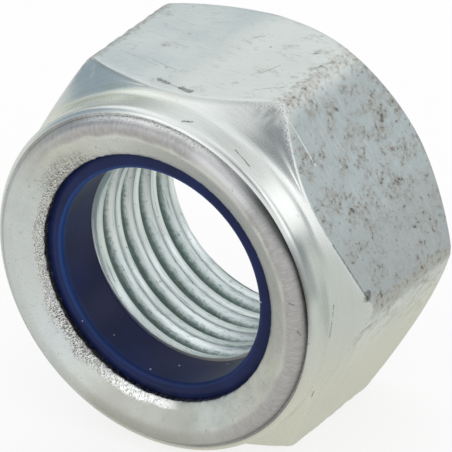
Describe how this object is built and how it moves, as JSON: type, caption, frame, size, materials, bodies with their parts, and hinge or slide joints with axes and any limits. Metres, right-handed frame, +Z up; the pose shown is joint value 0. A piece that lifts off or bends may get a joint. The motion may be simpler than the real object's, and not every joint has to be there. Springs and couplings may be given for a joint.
{
  "type": "nylon insert lock nut",
  "caption": "Hexagon lock nut with a crimped collar that holds a nylon ring, which grips the bolt so that the nut can't shake loose.",
  "frame": {"origin": "centre of the nut: on the thread axis, halfway between the bearing face and the crown of the collar", "axes": "the nut lies on one of its flats, with +Z up out of the opposite flat; +Y runs along the thread axis and out through the bearing face, the way a bolt leaves, and the collar with the nylon ring faces -Y; +X points at one of the hexagon's corners"},
  "size_m": [0.0412, 0.0228, 0.036],
  "materials": {
    "zinc_plated_steel": "pale zinc plating over a forged surface, smooth on the shoulder, dull in the crimped band, pitted on the flats",
    "blue_nylon": "smooth dark blue moulded nylon"
  },
  "bodies": {
    "root": {"nut_body": "zinc_plated_steel", "nylon_ring": "blue_nylon"}
  },
  "joints": []
}
